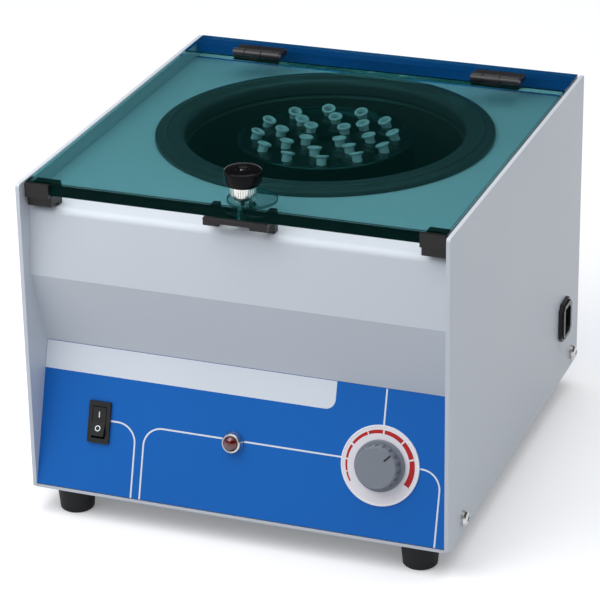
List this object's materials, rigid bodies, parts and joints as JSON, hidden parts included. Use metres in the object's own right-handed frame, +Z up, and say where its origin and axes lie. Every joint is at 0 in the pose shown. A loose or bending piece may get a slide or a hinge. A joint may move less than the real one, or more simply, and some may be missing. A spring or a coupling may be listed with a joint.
{
  "type": "milk butterfat centrifuge",
  "caption": "Bench centrifuge for milk fat tests: folded casing, hinged clear lid with lock, deep black bowl, rotor with leaning cups, switch, lamp and speed dial.",
  "frame": {"origin": "centre of the foot plane under the middle of the box", "axes": "+X to the right seen from the front, +Y to the back, +Z up"},
  "size_m": [0.3492, 0.366, 0.3064],
  "materials": {
    "painted_casing": "light blue-grey textured paint",
    "blue_paint": "blue satin paint",
    "clear_acrylic": "clear green-tinted acrylic, 10 mm",
    "black_moulding": "black satin moulding",
    "rotor_black": "black gloss coating",
    "cup_plastic": "milky translucent plastic",
    "rubber_black": "black rubber",
    "zinc_steel": "bright zinc",
    "black_steel": "black satin",
    "chrome_metal": "polished",
    "gloss_black": "glossy black",
    "black_plastic": "fine matte",
    "red_lens": "dark red, glossy",
    "plate_grey": "light grey",
    "knob_grey": "grey satin",
    "motor_grey": "dark grey paint",
    "board_green": "solder mask",
    "part_dark": "potted",
    "spacer_white": "nylon"
  },
  "bodies": {
    "casing": {"base_pan": "painted_casing", "feet": "rubber_black", "foot_bolts": "zinc_steel", "left_panel": "painted_casing", "right_panel": "painted_casing", "side_screws": "zinc_steel", "rear_cover": "blue_paint", "rear_screws": "zinc_steel", "front_fascia": "painted_casing", "top_plate": "painted_casing", "control_panel": "blue_paint", "bowl": "black_moulding", "bowl_rim": "black_moulding", "shaft_gland": "rubber_black", "motor_housing": "motor_grey", "motor_plate": "zinc_steel", "motor_screws": "zinc_steel", "motor_pillars": "zinc_steel", "motor_dampers": "rubber_black", "rear_strip": "clear_acrylic", "hinge_fixed_leaves": "black_steel", "hinge_pins": "zinc_steel", "strike": "black_plastic", "corner_rests": "black_plastic", "switch_frame": "black_plastic", "lamp_bezel": "zinc_steel", "lamp_lens": "red_lens", "lamp_body": "zinc_steel", "dial_plate": "plate_grey", "speed_pot": "zinc_steel", "inlet_body": "black_plastic", "inlet_pins": "chrome_metal", "control_board": "board_green", "board_parts": "part_dark", "board_spacers": "spacer_white"},
    "lid": {"lid": "clear_acrylic", "hinge_lid_leaves": "black_steel", "lid_clips": "black_plastic", "lock_plate": "clear_acrylic"},
    "lock": {"lock_cap": "gloss_black", "lock_collar": "chrome_metal", "lock_screw": "zinc_steel", "lock_stud": "chrome_metal", "lock_tongue": "zinc_steel"},
    "rotor": {"rotor": "rotor_black", "tube_cups": "cup_plastic", "rotor_screw": "zinc_steel", "drive_shaft": "zinc_steel"},
    "speed": {"speed_knob": "knob_grey", "knob_pointer": "gloss_black", "pot_spindle": "zinc_steel"},
    "rocker": {"switch_rocker": "black_plastic"}
  },
  "joints": [
    {"name": "lid_hinge", "type": "hinge", "parent": "casing", "child": "lid", "pos_m": [0, 0.1365, 0.2812], "axis": [-1, 0, 0], "range_deg": [0, 95]},
    {"name": "lock_turn", "type": "hinge", "parent": "lid", "child": "lock", "pos_m": [0.003, -0.157, 0.2774], "axis": [0, 0, 1], "range_deg": [0, 180]},
    {"name": "rotor_spin", "type": "hinge", "parent": "casing", "child": "rotor", "pos_m": [0, 0.028, 0.251], "axis": [0, 0, 1], "continuous": true},
    {"name": "speed_turn", "type": "hinge", "parent": "casing", "child": "speed", "pos_m": [0.1115, -0.16631, 0.07895], "axis": [0, -0.9585, 0.2849], "range_deg": [-90, 180]},
    {"name": "rocker_tilt", "type": "hinge", "parent": "casing", "child": "rocker", "pos_m": [-0.1177, -0.16392, 0.07823], "axis": [1, 0, 0], "range_deg": [0, 16]}
  ]
}
